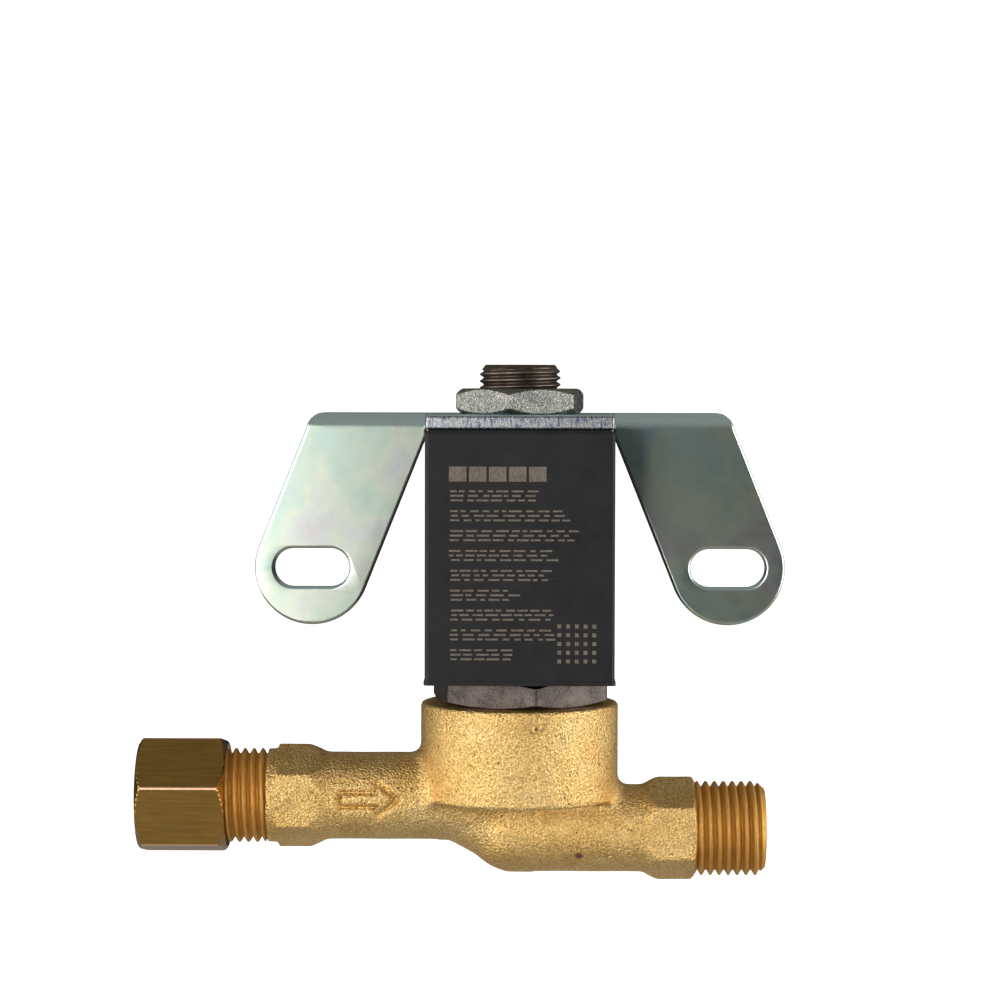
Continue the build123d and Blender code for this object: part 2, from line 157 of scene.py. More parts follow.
def smooth_min(a, b, k):
    """Lower of two fields, rounded where they meet over a distance k."""
    h = np.clip(0.5 + 0.5 * (b - a) / k, 0, 1)
    return b + (a - b) * h - k * h * (1 - h)


def smooth_max(a, b, k):
    return -smooth_min(-a, -b, k)


def surface_net(field, low, step):
    """Closed quad mesh of a field's zero surface on a regular grid (naive surface nets)."""
    inside = field < 0
    cells = np.zeros(tuple(n - 1 for n in field.shape), dtype=np.int8)
    corners = [(i, j, k) for i in (0, 1) for j in (0, 1) for k in (0, 1)]
    size = cells.shape

    def at(grid, c):
        return grid[c[0]:c[0] + size[0], c[1]:c[1] + size[1], c[2]:c[2] + size[2]]

    for c in corners:
        cells += at(inside, c)
    mixed = (cells > 0) & (cells < 8)
    where = np.argwhere(mixed)
    number = np.full(size, -1, dtype=np.int64)
    number[mixed] = np.arange(len(where))
    total = np.zeros((len(where), 3))
    count = np.zeros(len(where))
    for axis in range(3):
        for c in corners:
            if c[axis]:
                continue
            d = list(c)
            d[axis] = 1
            a = field[where[:, 0] + c[0], where[:, 1] + c[1], where[:, 2] + c[2]]
            b = field[where[:, 0] + d[0], where[:, 1] + d[1], where[:, 2] + d[2]]
            crossing = (a < 0) != (b < 0)
            share = np.where(crossing, a / np.where(a == b, 1, a - b), 0)
            place = np.tile(np.array(c, dtype=float), (len(where), 1))
            place[:, axis] += share
            total[crossing] += place[crossing]
            count[crossing] += 1
    points = (where + total / count[:, None]) * step + np.array(low)
    faces = []
    for axis in range(3):
        u, v = (axis + 1) % 3, (axis + 2) % 3
        first = [slice(0, n) for n in inside.shape]
        second = list(first)
        first[axis] = slice(0, inside.shape[axis] - 1)
        second[axis] = slice(1, inside.shape[axis])
        a, b = inside[tuple(first)], inside[tuple(second)]
        edge = np.argwhere(a != b)
        for side in (u, v):
            edge = edge[(edge[:, side] > 0) & (edge[:, side] < size[side])]
        outward = a[edge[:, 0], edge[:, 1], edge[:, 2]]
        ring = []
        for du, dv in ((1, 1), (0, 1), (0, 0), (1, 0)):
            cell = edge.copy()
            cell[:, u] -= du
            cell[:, v] -= dv
            ring.append(number[cell[:, 0], cell[:, 1], cell[:, 2]])
        quads = np.stack(ring, axis=1)
        quads[~outward] = quads[~outward][:, ::-1]
        faces.append(quads)
    return points, np.concatenate(faces)


def ring_mesh(name, rows, axis, centre, closed, sharp_deg=30):
    """Skin over rows of (position, radii) round an axis; closed joins the last row to the first."""
    around = len(rows[0][1])
    angle = np.arange(around) * TAU / around
    points = []
    for position, radius in rows:
        a, b = radius * np.cos(angle), radius * np.sin(angle)
        along = np.broadcast_to(position, a.shape)
        triple = (a, b, along) if axis == "z" else (along, a, b)
        points.append(np.stack(triple, axis=1) + np.array(centre))
    faces = []
    count = len(rows)
    for row in range(count if closed else count - 1):
        low, high = row * around, (row + 1) % count * around
        for i in range(around):
            j = (i + 1) % around
            faces.append((low + i, low + j, high + j, high + i))
    if not closed:
        faces.append(tuple(range(around))[::-1])
        faces.append(tuple((count - 1) * around + i for i in range(around)))
    return make_mesh(name, np.concatenate(points), faces, sharp_deg)


def hex_radius(angle, flat, turn, roundness=90):
    """Distance from the centre to a hexagon's side, with slightly rounded corners."""
    total = 0
    for side in range(6):
        facing = np.maximum(np.cos(angle - turn - side * TAU / 6), 0) / flat
        total = total + facing ** roundness
    return total ** (-1 / roundness)


def hex_nut(name, axis, centre, low, high, flat, turn, bore, chamfer, steps=46, around=360):
    """Chamfered hexagon nut: turned corners at both ends, and a bore given as (position, r)."""
    angle = np.arange(around) * TAU / around
    corner = flat / math.cos(TAU / 12)
    rows = []
    for step in range(steps + 1):
        share = step / steps
        share = 0.5 - 0.5 * math.cos(share * math.pi)
        position = low + (high - low) * share
        depth = min(position - low, high - position)
        cone = flat - 0.2 + depth * (corner - flat + 0.2) / chamfer
        radius = smooth_min(hex_radius(angle, flat, turn), np.full(around, cone), 0.06)
        rows.append((position, radius))
    for position, radius in bore:
        rows.append((position, np.full(around, radius)))
    return ring_mesh(name, rows, axis, centre, True, 28)


def thread_rows(start, end, crest, pitch, depth, around, taper=0.9, runout=0.5, phase=0.0):
    """Rows of a right-hand helical V thread from start to end, tapered at its free end."""
    angle = np.arange(around) * TAU / around
    length = abs(end - start)
    count = int(length / pitch * 16)
    rows = []
    for step in range(count + 1):
        position = start + (end - start) * step / count
        turn = position / pitch - angle / TAU + phase
        saw = np.abs((turn % 1.0) - 0.5) * 2
        ridge = np.clip((saw - 0.10) / 0.74, 0, 1)
        ridge = ridge * ridge * (3 - 2 * ridge) * 0.35 + ridge * 0.65
        radius = crest - depth + depth * ridge
        to_end = abs(end - position)
        to_start = abs(position - start)
        radius = np.minimum(radius, crest - depth - 0.25 + to_end * taper)
        radius = np.minimum(radius, crest - depth + to_start * (depth / runout))
        rows.append((position, radius))
    return rows


# ---------------------------------------------------------------- brass body
def body_field(x, y, z):
    """Signed distance of the forging, about. y is counted from the stem axis."""

    def cylinder_x(level, radius, low, high, edge, flatten=1.0):
        radial = np.sqrt((y / flatten) ** 2 + (z - level) ** 2) - radius
        along = np.maximum(low - x, x - high)
        return smooth_max(radial, along, edge)

    def tower(radius, low, high, edge):
        radial = np.sqrt(x * x + y * y) - radius
        return smooth_max(radial, np.maximum(low - z, z - high), edge)

    def wrench(level, low, high, slope_low, slope_high):
        rise = z - level
        half, root3 = 0.5, math.sqrt(3) / 2
        side = np.maximum(np.abs(y), np.abs(y * half + rise * root3))
        side = np.maximum(side, np.abs(y * half - rise * root3)) - WRENCH_FLAT
        radial = np.sqrt(y * y + rise * rise)
        cone_low = (radial - WRENCH_CORNER + (low - x) * slope_low) * 0.9
        cone_high = (radial - WRENCH_CORNER + (x - high) * slope_high) * 0.9
        cut = np.maximum(cone_low, cone_high)
        return smooth_max(side, cut, 0.22)

    inlet = cylinder_x(INLET_Z, PIPE_R, -28.0, 2.0, 0.2)
    # outlet pipe with a rounded end, and the ramp that joins it to the inlet pipe
    start = -0.9
    past = np.maximum(start - x, 0)
    outlet = np.sqrt(past ** 2 + y * y + (z - OUTLET_Z) ** 2) - PIPE_R
    outlet = np.maximum(outlet, x - 18.0)
    ramp_start, ramp_run = -8.5, 7.0
    share = np.clip((x - ramp_start) / ramp_run, 0, 1)
    ramp_level = INLET_Z - PORT_DROP * share
    ramp = np.sqrt((y * 1.12) ** 2 + (z - ramp_level) ** 2) - PIPE_R
    ramp = np.maximum(ramp, np.maximum(-9.5 - x, x - 1.5))
    pipes = smooth_min(inlet, outlet, 0.5)
    pipes = smooth_min(pipes, ramp, 0.4)
    boss = tower(BOSS_R, BOSS_FLOOR, BOSS_TOP, 0.45)
    solid = smooth_min(pipes, boss, 1.5)
    left = wrench(INLET_Z, *INLET_WRENCH, 3.0, 0.52)
    right = wrench(OUTLET_Z, *OUTLET_WRENCH, 0.6, 2.0)
    solid = smooth_min(solid, left, 0.25)
    solid = smooth_min(solid, right, 0.25)
    solid = np.minimum(solid, cylinder_x(INLET_Z, THREAD_R - 0.04, -29.7, -27.0, 0.15))
    solid = np.minimum(solid, cylinder_x(OUTLET_Z, THREAD_R - 0.25, 18.0, 20.7, 0.1))

    # flow arrow: a groove round its outline, on the front of the inlet pipe
    def groove(ax, az, bx, bz):
        share = ((x - ax) * (bx - ax) + (z - az) * (bz - az)) / ((bx - ax) ** 2 + (bz - az) ** 2)
        share = np.clip(share, 0, 1)
        return np.sqrt((x - ax - share * (bx - ax)) ** 2 + (z - az - share * (bz - az)) ** 2)

    middle = INLET_Z + ARROW_LIFT
    outline = [(-21.0, 0.85), (-16.7, 0.85), (-16.7, 2.0), (-14.2, 0.05), (-16.7, -1.95),
               (-16.7, -0.85), (-21.0, -0.85), (-21.0, 0.85)]
    line = None
    for (ax, az), (bx, bz) in zip(outline, outline[1:]):
        reach = groove(ax, middle + az, bx, middle + bz)
        line = reach if line is None else np.minimum(line, reach)
    depth = np.clip(1 - line / 0.42, 0, 1)
    depth = depth * depth * (3 - 2 * depth) * 0.5
    solid = np.where(y < -2, solid + depth, solid)

    # slow unevenness of the forging's skin
    solid = solid + 0.012 * np.sin(x * 0.9 + 1.3 * np.sin(z * 0.7)) * np.sin(z * 1.1 + y * 0.8)

    # bores
    bore = tower(TUBE_THREAD_R, BOSS_TOP - 6.6, BOSS_TOP + 3, 0.05)
    bore = np.minimum(bore, tower(CHAMBER_R, BOSS_TOP - 8.2, BOSS_TOP - 5, 0.05))
    seat = tower(SEAT_R, BOSS_TOP - 12, BOSS_TOP - 6.6, 0.05)
    bore = np.maximum(bore, -seat)
    bore = np.minimum(bore, tower(ORIFICE_R, OUTLET_Z, BOSS_TOP - 4, 0.05))
    offset = np.sqrt((x - DRILLING_X) ** 2 + y * y) - DRILLING_R
    bore = np.minimum(bore, np.maximum(offset, np.maximum(INLET_Z - z, z - BOSS_TOP + 8)))
    bore = np.minimum(bore, cylinder_x(INLET_Z, PASSAGE_R, -60, -3.1, 0.05))
    bore = np.minimum(bore, cylinder_x(OUTLET_Z, PASSAGE_R, -1.5, 60, 0.05))
    return np.maximum(solid, -bore)


def build_body():
    step = 0.25
    low = [-30.4, -BOSS_R - 0.6, BODY_FLOOR - 0.6]
    high = [21.4, BOSS_R + 0.6, BOSS_TOP + 0.6]
    axes = [np.arange(a, b, step) for a, b in zip(low, high)]
    x, y, z = np.meshgrid(*axes, indexing="ij", sparse=True)
    points, faces = surface_net(body_field(x, y, z), low, step)
    points[:, 1] += STEM_Y
    return make_mesh("body_forging", points, faces.tolist(), 42)


def build_port(name, start, end, level, phase):
    """Helical thread of one port, with its chamfered end, flared mouth and tube socket."""
    inward = 1 if end < start else -1
    rows = thread_rows(start, end, THREAD_R, THREAD_PITCH, THREAD_DEPTH, 160, phase=phase)
    around = len(rows[0][1])
    inside = [
        (end, 4.45), (end + 0.06 * inward, 4.35), (end + 1.7 * inward, SOCKET_R),
        (end + SOCKET_DEPTH * inward, SOCKET_R), (end + SOCKET_DEPTH * inward, PASSAGE_R),
        (start, PASSAGE_R),
    ]
    rows += [(position, np.full(around, radius)) for position, radius in inside]
    if end > start:
        rows = rows[::-1]
    return ring_mesh(name, rows[::-1], "x", (0, STEM_Y, level), True, 50)


# ---------------------------------------------------------------- bracket
def arc(centre, radius, start, end, steps):
    """Points on an arc; angles in degrees."""
    sweep = [math.radians(start + (end - start) * i / steps) for i in range(steps + 1)]
    return [(centre[0] + radius * math.cos(a), centre[1] + radius * math.sin(a)) for a in sweep]


def bracket_blank():
    """Outline and holes of the flat sheet: x, and distance v from the start of the bend."""
    neutral = BEND_R - SHEET / 2
    bend = neutral * math.pi / 2
    bend_z = PLATE_TOP - BEND_R

    def leg_v(z):
        return z - bend_z - bend

    lean = math.radians(LEG_SPLAY)
    tab_front = STEM_Y - 11.0 - BEND_R
    plate_back = STEM_Y + 13.0 - BEND_R
    slope = math.tan(lean)
    reach = LEG_HALF / math.cos(lean)
    inner_z = (SLOT_X - reach - LEG_START_X) / slope
    outer_x = SLOT_X + reach - bend_z * slope
    right = [(TAB_HALF - 0.25, tab_front), (TAB_HALF, tab_front + 0.25), (TAB_HALF, 0.5)]
    right += [(LEG_START_X, 0.5), (LEG_START_X, leg_v(inner_z))]
    right += arc((SLOT_X, leg_v(0)), LEG_HALF, 180 + LEG_SPLAY, 360 + LEG_SPLAY, 40)
    right += [(outer_x, leg_v(bend_z)), (outer_x - 0.2, -0.72 * bend), (outer_x - 0.55, -0.45 * bend),
              (outer_x - 1.0, -0.2 * bend), (outer_x - 1.4, 0.2), (outer_x - 1.5, plate_back - 0.4),
              (outer_x - 1.9, plate_back)]
    left = [(-x, v) for x, v in reversed(right)]
    holes = []
    for side in (-1, 1):
        centre_v = leg_v(0)
        slot = arc((side * SLOT_X + SLOT_HALF, centre_v), SLOT_R, -90, 90, 20)
        slot += arc((side * SLOT_X - SLOT_HALF, centre_v), SLOT_R, 90, 270, 20)
        holes.append(slot)
    holes.append(arc((0, STEM_Y - BEND_R), STEM_HOLE_R, 0, 354, 59))
    return right + left, holes, neutral, bend, bend_z


def build_bracket():
    outline, holes, neutral, bend, bend_z = bracket_blank()
    curve = bpy.data.curves.new("blank", "CURVE")
    curve.dimensions = "2D"
    curve.fill_mode = "BOTH"
    curve.extrude = SHEET / 2 - SHEET_RIM
    curve.bevel_depth = SHEET_RIM
    curve.bevel_resolution = 3
    curve.offset = -SHEET_RIM
    for loop in [outline] + holes:
        spline = curve.splines.new("POLY")
        spline.points.add(len(loop) - 1)
        for point, (x, v) in zip(spline.points, loop):
            point.co = (x, v, 0, 1)
        spline.use_cyclic_u = True
    source = bpy.data.objects.new("blank", curve)
    mesh = bpy.data.meshes.new_from_object(source)
    bpy.data.objects.remove(source)
    shape = bmesh.new()
    shape.from_mesh(mesh)
    bmesh.ops.remove_doubles(shape, verts=shape.verts, dist=1e-4)
    cuts = [-bend * i / 10 for i in range(11)]
    for v in cuts:
        everything = shape.verts[:] + shape.edges[:] + shape.faces[:]
        bmesh.ops.bisect_plane(shape, geom=everything, plane_co=(0, v, 0), plane_no=(0, 1, 0))
    for vert in shape.verts:
        x, v, t = vert.co
        if abs(x) < (TAB_HALF + LEG_START_X) / 2 - 0.005 or v >= 0:
            vert.co = (x, BEND_R + v, PLATE_TOP - SHEET / 2 + t)
        elif v > -bend:
            turn = -v / neutral
            radius = neutral + t
            vert.co = (x, BEND_R - radius * math.sin(turn), bend_z + radius * math.cos(turn))
        else:
            vert.co = (x, BEND_R - neutral - t, bend_z + v + bend)
        vert.co *= MM
    bmesh.ops.recalc_face_normals(shape, faces=shape.faces)
    shape.to_mesh(mesh)
    shape.free()
    mesh.shade_smooth()
    weighted = [Vector((0, 0, 0)) for _ in mesh.vertices]
    for face in mesh.polygons:
        for index in face.vertices:
            weighted[index] += face.normal * face.area
    mesh.normals_split_custom_set_from_vertices([normal.normalized() for normal in weighted])
    piece = bpy.data.objects.new("bracket_sheet", mesh)
    bpy.context.scene.collection.objects.link(piece)
    return piece


# ---------------------------------------------------------------- coil marking
def build_marking():
    """Abstract laser marking on the coil's front: blocks, dashed lines and a dot grid."""
    rng = np.random.default_rng(7)
    face_y = coil_low[1] + 0.12
    proud = 0.02
    points, faces = [], []

    def bar(x0, x1, z0, z1):
        base = len(points)
        for y in (face_y + 0.05, face_y - proud):
            points.extend([(x0, y, z0), (x1, y, z0), (x1, y, z1), (x0, y, z1)])
        for quad in ((3, 2, 1, 0), (4, 5, 6, 7), (0, 1, 5, 4), (1, 2, 6, 5), (2, 3, 7, 6),
                     (3, 0, 4, 7)):
            faces.append(tuple(base + i for i in quad))

    left = -8.1
    top = COIL_TOP - 4.1
    x = left
    block, block_gap, block_height = 2.0, 0.28, 1.7
    for _ in range(5):
        bar(x, x + block, top - block_height, top)
        x += block + block_gap
    row_ends = (0.9, 5.2, 5.7, 3.2, 2.9, -0.9, 3.4, 3.3, -1.0)
    first_row, row_pitch, dash_height = 3.95, 2.27, 0.21
    for row, end in enumerate(row_ends):
        base = top - first_row - row * row_pitch
        for level in (0.0, 0.52, 1.04):
            x = left + rng.uniform(0.0, 0.3)
            while x < end:
                width = rng.uniform(0.5, 1.5)
                bar(x, x + width, base + level, base + level + dash_height)
                x += width + rng.uniform(0.22, 0.6)
    dot, grid_x, grid_z = 0.45, 4.3, COIL_BOTTOM + 2.6
    for i in range(5):
        for j in range(5):
            bar(grid_x + i, grid_x + i + dot, grid_z + j, grid_z + j + dot)
    return make_mesh("coil_marking", points, faces, 20)


# ---------------------------------------------------------------- materials
class Paint:
    """A Principled material with short calls for the nodes that the looks here need."""

    def __init__(self, name, color, metallic=0.0, rough=0.5, specular=None):
        self.material = bpy.data.materials.new(name)
        self.material.use_nodes = True
        self.tree = self.material.node_tree
        self.shader = self.tree.nodes["Principled BSDF"]
        self.shader.inputs["Base Color"].default_value = (*color, 1)
        self.shader.inputs["Metallic"].default_value = metallic
        self.shader.inputs["Roughness"].default_value = rough
        if specular is not None:
            self.shader.inputs["Specular IOR Level"].default_value = specular
        coordinates = self.tree.nodes.new("ShaderNodeTexCoord")
        scale = self.tree.nodes.new("ShaderNodeVectorMath")
        scale.operation = "SCALE"
        scale.inputs["Scale"].default_value = 1 / MM
        self.join(coordinates.outputs["Object"], scale.inputs[0])
        self.place = scale.outputs[0]

    def join(self, output, socket):
        self.tree.links.new(output, socket)

    def stretched(self, factors):
        """The place, scaled by its own factor along each axis."""
        node = self.tree.nodes.new("ShaderNodeVectorMath")
        node.operation = "MULTIPLY"
        node.inputs[1].default_value = factors
        self.join(self.place, node.inputs[0])
        return node.outputs[0]

    def noise(self, scale, detail=2.0, rough=0.5, source=None, distortion=0.0):
        node = self.tree.nodes.new("ShaderNodeTexNoise")
        node.inputs["Scale"].default_value = scale
        node.inputs["Detail"].default_value = detail
        node.inputs["Roughness"].default_value = rough
        node.inputs["Distortion"].default_value = distortion
        self.join(source or self.place, node.inputs["Vector"])
        return node.outputs["Fac"]

    def cells(self, scale):
        """Distance to the nearest point of a scatter."""
        node = self.tree.nodes.new("ShaderNodeTexVoronoi")
        node.inputs["Scale"].default_value = scale
        self.join(self.place, node.inputs["Vector"])
        return node.outputs["Distance"]

    def ramp(self, value, stops):
        """Colour or number ramp; stops are (position, colour or number)."""
        node = self.tree.nodes.new("ShaderNodeValToRGB")
        elements = node.color_ramp.elements
        while len(elements) < len(stops):
            elements.new(0.5)
        for element, (position, shade) in zip(elements, stops):
            element.position = position
            shade = shade if isinstance(shade, tuple) else (shade,) * 3
            element.color = (*shade, 1)
        self.join(value, node.inputs[0])
        return node.outputs["Color"]

    def mix(self, share, a, b, blend="MIX"):
        node = self.tree.nodes.new("ShaderNodeMix")
        node.data_type = "RGBA"
        node.blend_type = blend
        for socket, value in ((node.inputs[0], share), (node.inputs[6], a), (node.inputs[7], b)):
            if isinstance(value, tuple):
                socket.default_value = (*value, 1)
            elif isinstance(value, (int, float)):
                socket.default_value = value
            else:
                self.join(value, socket)
        return node.outputs[2]

    def math(self, operation, a, b=0.0):
        node = self.tree.nodes.new("ShaderNodeMath")
        node.operation = operation
        for socket, value in zip(node.inputs, (a, b)):
            if isinstance(value, (int, float)):
                socket.default_value = value
            else:
                self.join(value, socket)
        return node.outputs[0]

    def split(self, source=None):
        node = self.tree.nodes.new("ShaderNodeSeparateXYZ")
        self.join(source or self.place, node.inputs[0])
        return node.outputs

    def facing(self):
        """Outward normal of the surface, split into x, y and z."""
        node = self.tree.nodes.new("ShaderNodeNewGeometry")
        return self.split(node.outputs["Normal"])

    def band(self, value, low, high):
        """0 at low and before it, 1 at high and past it."""
        node = self.tree.nodes.new("ShaderNodeMapRange")
        node.inputs["From Min"].default_value = low
        node.inputs["From Max"].default_value = high
        self.join(value, node.inputs["Value"])
        return node.outputs["Result"]

    def radius_from(self, axis, centre):
        """Distance from an axis along x or z through a point, mm."""
        parts = self.split()
        pair = ((1, centre[1]), (2, centre[2])) if axis == "x" else ((0, centre[0]), (1, centre[1]))
        squares = []
        for index, middle in pair:
            off = self.math("SUBTRACT", parts[index], middle)
            squares.append(self.math("MULTIPLY", off, off))
        return self.math("SQRT", self.math("ADD", *squares))

    def near(self, point, reach):
        """1 at a point, falling to 0 at a distance, mm."""
        gap = self.tree.nodes.new("ShaderNodeVectorMath")
        gap.operation = "DISTANCE"
        gap.inputs[1].default_value = point
        self.join(self.place, gap.inputs[0])
        return self.band(gap.outputs["Value"], reach, 0)

    def color(self, output):
        self.join(output, self.shader.inputs["Base Color"])

    def rough(self, output):
        self.join(output, self.shader.inputs["Roughness"])

    def bump(self, height, distance):
        """Raise the surface by a distance, mm, over the bumps already there."""
        node = self.tree.nodes.new("ShaderNodeBump")
        node.inputs["Strength"].default_value = 1.0
        node.inputs["Distance"].default_value = distance * MM
        self.join(height, node.inputs["Height"])
        previous = self.shader.inputs["Normal"].links
        if previous:
            self.join(previous[0].from_socket, node.inputs["Normal"])
        self.join(node.outputs[0], self.shader.inputs["Normal"])


def blasted_brass():
    """Sand-blasted forging: grainy, with dark specks, painted glints, a few casting pits and one
    stain.
    """
    paint = Paint("blasted_brass", (0.86, 0.58, 0.20), 1.0, 0.35)
    grain = paint.noise(3.7, 2.5, 0.62)
    dimples = paint.cells(4.2)
    broad = paint.noise(0.22, 3.0, 0.55)
    tone = paint.ramp(broad, [(0.30, (0.79, 0.515, 0.18)), (0.55, (0.86, 0.60, 0.235)),
                              (0.75, (0.92, 0.675, 0.30))])
    # dark specks: the grain's colour is darker where the same noise lowers the bump
    speckle = paint.ramp(grain, [(0.32, (0.46, 0.32, 0.17)), (0.48, (0.92, 0.91, 0.89)),
                                 (0.70, (1.0, 1.0, 1.0))])
    tone = paint.mix(0.55, tone, speckle, "MULTIPLY")
    fine = paint.noise(4.6, 2.0, 0.6)
    # grain tone with painted glints: fine spots are darker, others are brightened past the brass's
    # own colour as glints
    grain_with_painted_glints = paint.ramp(fine, [(0.36, (0.70, 0.62, 0.52)), (0.50, (0.96, 0.95, 0.94)),
                                (0.62, (1.14, 1.15, 1.20))])
    tone = paint.mix(1.0, tone, grain_with_painted_glints, "MULTIPLY")
    pits = paint.cells(0.9)
    pit_mask = paint.band(pits, 0.13, 0.07)
    chosen = paint.band(paint.noise(0.35, 1.0), 0.56, 0.60)
    pit_mask = paint.math("MULTIPLY", pit_mask, chosen)
    flaw = paint.band(paint.cells(1.8), 0.42, 0.34)
    flaw = paint.math("MULTIPLY", paint.near(CASTING_FLAW, 1.5), flaw)
    pit_mask = paint.math("MAXIMUM", pit_mask, flaw)
    tone = paint.mix(paint.band(paint.near(STAIN, 0.8), 0.3, 0.6), tone, (0.30, 0.10, 0.09))
    paint.color(paint.mix(pit_mask, tone, (0.10, 0.06, 0.03)))
    paint.rough(paint.ramp(grain, [(0.3, 0.42), (0.7, 0.35)]))
    paint.bump(grain, 0.22)
    paint.bump(dimples, 0.03)
    paint.bump(paint.math("SUBTRACT", 1.0, pit_mask), 0.10)
    return paint.material


def threaded_brass(level):
    """Turned thread on an axis at a level: crests painted paler as a highlight, faint rings of tool
    marks.
    """
    paint = Paint(f"threaded_brass_{abs(round(level))}", (0.72, 0.46, 0.16), 1.0, 0.3)
    depth = paint.radius_from("x", (0, STEM_Y, level))
    # painted highlight: the crests, picked out by their distance from the axis, are coloured paler
    crest = paint.band(depth, THREAD_R - THREAD_DEPTH, THREAD_R - 0.1)
    tone_with_painted_crests = paint.mix(crest, (0.72, 0.41, 0.10), (0.74, 0.44, 0.125))
    around = paint.noise(1.2, 3.0, 0.6, paint.stretched((4.0, 0.35, 0.35)))
    paint.color(paint.mix(0.45, tone_with_painted_crests, paint.ramp(around, [(0.35, 0.6), (0.6, 1.0)]), "MULTIPLY"))
    paint.rough(paint.ramp(paint.noise(2.0, 2.0), [(0.3, 0.60), (0.7, 0.70)]))
    paint.bump(paint.noise(2.0, 3.0, 0.6, paint.stretched((9.0, 0.5, 0.5))), 0.015)
    return paint.material


def drawn_brass():
    """Dark polished bar stock: streaks along the nut, copper-coloured rubbed corners, also painted
    pale as an edge highlight.
    """
    paint = Paint("drawn_brass", (0.46, 0.28, 0.08), 1.0, 0.24)
    streak = paint.noise(2.2, 4.0, 0.6, paint.stretched((0.10, 1.3, 1.3)))
    broad = paint.noise(0.30, 2.0, 0.5)
    tone = paint.ramp(streak, [(0.30, (0.37, 0.21, 0.050)), (0.55, (0.44, 0.255, 0.064)),
                               (0.80, (0.52, 0.315, 0.090))])
    tone = paint.mix(0.25, tone, paint.ramp(broad, [(0.3, 0.6), (0.7, 1.0)]), "MULTIPLY")
    reach = paint.radius_from("x", (0, STEM_Y, INLET_Z))
    corner_r = PORT_NUT_FLAT / math.cos(TAU / 12)
    corner = paint.band(reach, corner_r - 0.127, corner_r - 0.062)
    # rubbed copper corners, partly wear and partly a painted highlight along every edge
    paint.color(paint.mix(corner, tone, (0.92, 0.58, 0.42)))
    satin = paint.ramp(streak, [(0.3, 0.22), (0.7, 0.30)])
    paint.rough(paint.mix(corner, satin, (0.5, 0.5, 0.5)))
    paint.bump(streak, 0.006)
    return paint.material


def plain_metal(name, dark, light, rough, grain=4.0, bump=0.01, stretch=(1.0, 1.0, 1.0)):
    """Metal whose colour wanders between two tones, with a fine grain."""
    paint = Paint(name, light, 1.0, rough[0])
    fine = paint.noise(grain, 3.0, 0.6, paint.stretched(stretch))
    broad = paint.noise(0.5, 3.0, 0.6)
    share = paint.math("ADD", paint.math("MULTIPLY", fine, 0.6), paint.math("MULTIPLY", broad, 0.4))
    paint.color(paint.ramp(share, [(0.35, dark), (0.65, light)]))
    paint.rough(paint.ramp(fine, [(0.3, rough[0]), (0.7, rough[1])]))
    paint.bump(fine, bump)
    return paint.material


def stud_steel():
    """Browned steel of the core and its stud, with a painted highlight: brighter colour on the
    thread's crests.
    """
    paint = Paint("stud_steel", (0.20, 0.16, 0.13), 1.0, 0.35)
    depth = paint.radius_from("z", (0, STEM_Y, 0))
    crest = paint.band(depth, STUD_R - STUD_DEPTH, STUD_R - 0.08)
    stain = paint.noise(1.6, 3.0, 0.6)
    tone = paint.ramp(stain, [(0.3, (0.085, 0.065, 0.052)), (0.7, (0.17, 0.135, 0.11))])
    # painted highlight: the stud's crests are coloured brighter than the roots
    paint.color(paint.mix(crest, tone, (0.20, 0.165, 0.14)))
    paint.rough(paint.ramp(stain, [(0.3, 0.36), (0.7, 0.48)]))
    paint.bump(paint.noise(6.0, 2.0), 0.01)
    return paint.material


def zinc_nut():
    """Dull zinc with a coarse grain and painted glints."""
    paint = Paint("zinc_nut", (0.30, 0.30, 0.27), 1.0, 0.36)
    grain_with_painted_glints = paint.noise(4.5, 3.0, 0.7)
    broad = paint.noise(0.6, 2.0)
    tone = paint.ramp(broad, [(0.35, (0.26, 0.265, 0.245)), (0.65, (0.40, 0.385, 0.34))])
    # grain tone with painted glints: the grain's brightest spots are coloured past the zinc's own
    # tone
    painted_glints_and_tone = paint.ramp(grain_with_painted_glints, [(0.38, 0.45), (0.50, 0.85), (0.62, 1.25)])
    paint.color(paint.mix(1.0, tone, painted_glints_and_tone, "MULTIPLY"))
    paint.rough(paint.ramp(grain_with_painted_glints, [(0.3, 0.34), (0.7, 0.20)]))
    paint.bump(grain_with_painted_glints, 0.12)
    return paint.material


def passivated_zinc():
    """Zinc plate with the pale green, blue and straw tints of clear passivation, and painted light on
    faces that turn upward.
    """
    paint = Paint("passivated_zinc", (0.50, 0.56, 0.52), 1.0, 0.30)
    drift = paint.noise(0.11, 2.0, 0.5, distortion=0.5)
    tint = paint.ramp(drift, [(0.30, (0.43, 0.55, 0.56)), (0.42, (0.47, 0.58, 0.50)),
                              (0.52, (0.56, 0.61, 0.51)), (0.62, (0.53, 0.56, 0.54)),
                              (0.75, (0.54, 0.52, 0.51))])
    cloud = paint.noise(0.9, 3.0, 0.55)
    tint = paint.mix(0.2, tint, paint.ramp(cloud, [(0.3, 0.75), (0.6, 1.0)]), "MULTIPLY")
    # painted light: faces turning upward, the bends and the plate's top, are coloured paler and bluer
    rise = paint.facing()[2]
    facing_up_painted_light = paint.band(rise, 0.10, 0.5)
    tint = paint.mix(facing_up_painted_light, tint, (0.72, 0.95, 0.98))
    paint.rough(paint.ramp(cloud, [(0.3, 0.28), (0.7, 0.31)]))
    paint.color(tint)
    return paint.material


